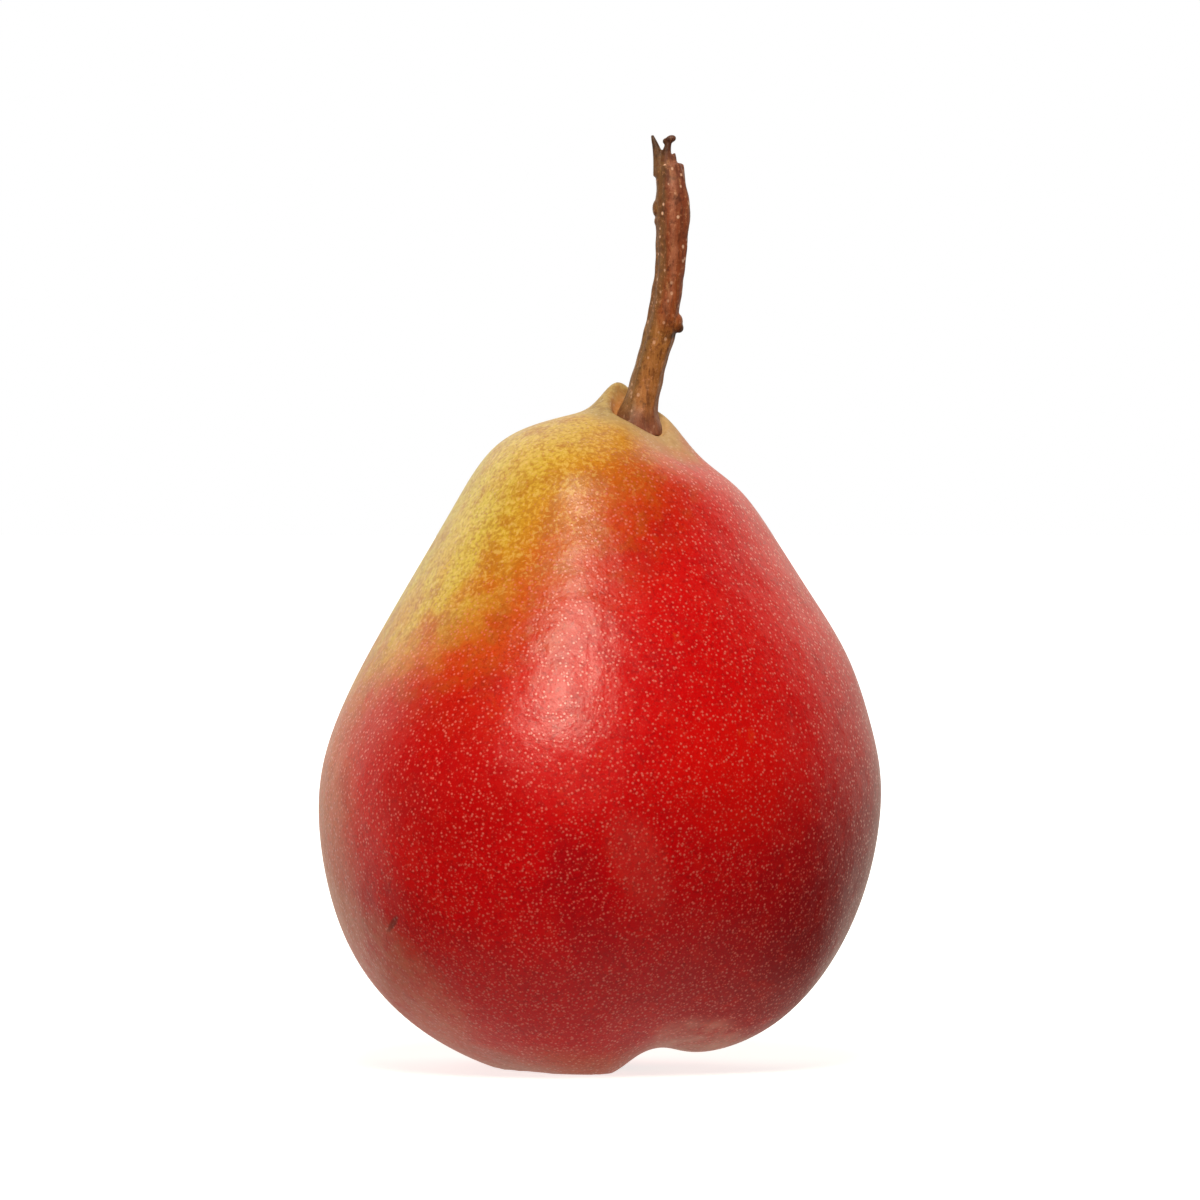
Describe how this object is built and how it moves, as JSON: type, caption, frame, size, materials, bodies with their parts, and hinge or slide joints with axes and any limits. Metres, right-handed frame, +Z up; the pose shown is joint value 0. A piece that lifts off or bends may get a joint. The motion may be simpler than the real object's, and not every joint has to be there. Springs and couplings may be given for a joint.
{
  "type": "pear",
  "caption": "Whole ripe pear standing on its base: a broad red and yellow fruit with a curved woody stem and a dried calyx in the basin underneath.",
  "frame": {"origin": "on the ground plane, under the middle of the fruit's widest section", "axes": "+Z up along the fruit, from the flat spots that it stands on to the tip of the stem; +X to the right and -Y towards the viewer, as in the picture"},
  "size_m": [0.0703, 0.0706, 0.1166],
  "materials": {
    "skin": "smooth waxy fruit skin, red with a yellow shoulder and fine pale pores",
    "bark": "dull reddish-brown bark",
    "husk": "dry, dull, dark brown"
  },
  "bodies": {
    "root": {"fruit": "skin", "stem": "bark", "sepal_1": "husk", "sepal_2": "husk", "sepal_3": "husk", "sepal_4": "husk", "sepal_5": "husk", "stamen_tuft": "husk"}
  },
  "joints": []
}
